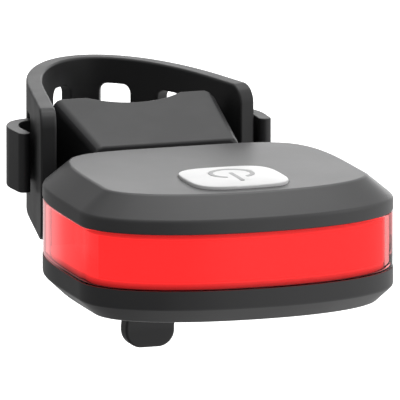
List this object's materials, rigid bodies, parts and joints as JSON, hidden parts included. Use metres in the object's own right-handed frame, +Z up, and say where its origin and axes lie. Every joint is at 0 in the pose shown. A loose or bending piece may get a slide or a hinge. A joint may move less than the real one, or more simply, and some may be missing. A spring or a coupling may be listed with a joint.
{
  "type": "bicycle rear light",
  "caption": "Rounded bicycle rear light with a wrap-round red lens and a top power button, on a wedge bracket with a slotted strap for a seatpost.",
  "frame": {"origin": "on the axis of a 27.2 mm seatpost that rests in the bracket's hollow, halfway up the strap", "axes": "+Z up along the seatpost, -Y the way the light faces, +X to the right seen from in front"},
  "size_m": [0.06, 0.109, 0.0478],
  "materials": {
    "cover_grey": "satin moulded plastic",
    "case_black": "satin moulded plastic",
    "lens_red": "clear red moulding",
    "light_bar": "milky red moulding",
    "tray_white": "white moulding",
    "board_green": "coated circuit board",
    "led_phosphor": "LED package",
    "switch_black": "moulded switch body",
    "button_white": "satin white moulding",
    "sign_grey": "grey inlay",
    "seal_rubber": "soft rubber",
    "strap_rubber": "satin silicone",
    "cell_foil": "foil pouch",
    "foam": "closed-cell foam",
    "steel": "zinc-plated steel"
  },
  "bodies": {
    "light_on_bracket": {"top_cover": "cover_grey", "base_housing": "case_black", "lens": "lens_red", "diffuser": "light_bar", "light_tray": "tray_white", "led_strip": "tray_white", "led_chips": "led_phosphor", "main_board": "board_green", "tact_switch": "switch_black", "button_seal": "seal_rubber", "case_seal": "seal_rubber", "battery_cell": "cell_foil", "battery_pad": "foam", "charging_board": "board_green", "usb_socket": "steel", "case_screws": "steel", "mount_rail": "case_black", "rail_screws": "steel", "bracket": "case_black", "cradle_pad": "seal_rubber", "lever_pin": "steel", "lever_spring": "steel", "strap": "strap_rubber"},
    "button": {"power_button": "button_white", "power_sign": "sign_grey"},
    "plunger": {"switch_plunger": "button_white"},
    "port_cover": {"socket_cover": "seal_rubber"},
    "lever": {"release_lever": "case_black"}
  },
  "joints": [
    {"name": "button_press", "type": "slide", "parent": "light_on_bracket", "child": "button", "axis": [0, 0, -1], "range_m": [0, 0.0005], "stiffness_N_per_m": 600},
    {"name": "plunger_press", "type": "slide", "parent": "light_on_bracket", "child": "plunger", "axis": [0, 0, -1], "range_m": [0, 0.0005]},
    {"name": "port_cover_swing", "type": "hinge", "parent": "light_on_bracket", "child": "port_cover", "pos_m": [0, -0.04665, -0.01705], "axis": [-1, 0, 0], "range_deg": [0, 110]},
    {"name": "lever_tilt", "type": "hinge", "parent": "light_on_bracket", "child": "lever", "pos_m": [0, -0.0241, 0.003], "axis": [1, 0, 0], "range_deg": [0, 4], "stiffness_Nm_per_rad": 0.1, "deforming": ["lever_spring"]}
  ],
  "couplings": [
    {"joint": "plunger_press", "follows": "button_press", "ratio": 1}
  ]
}
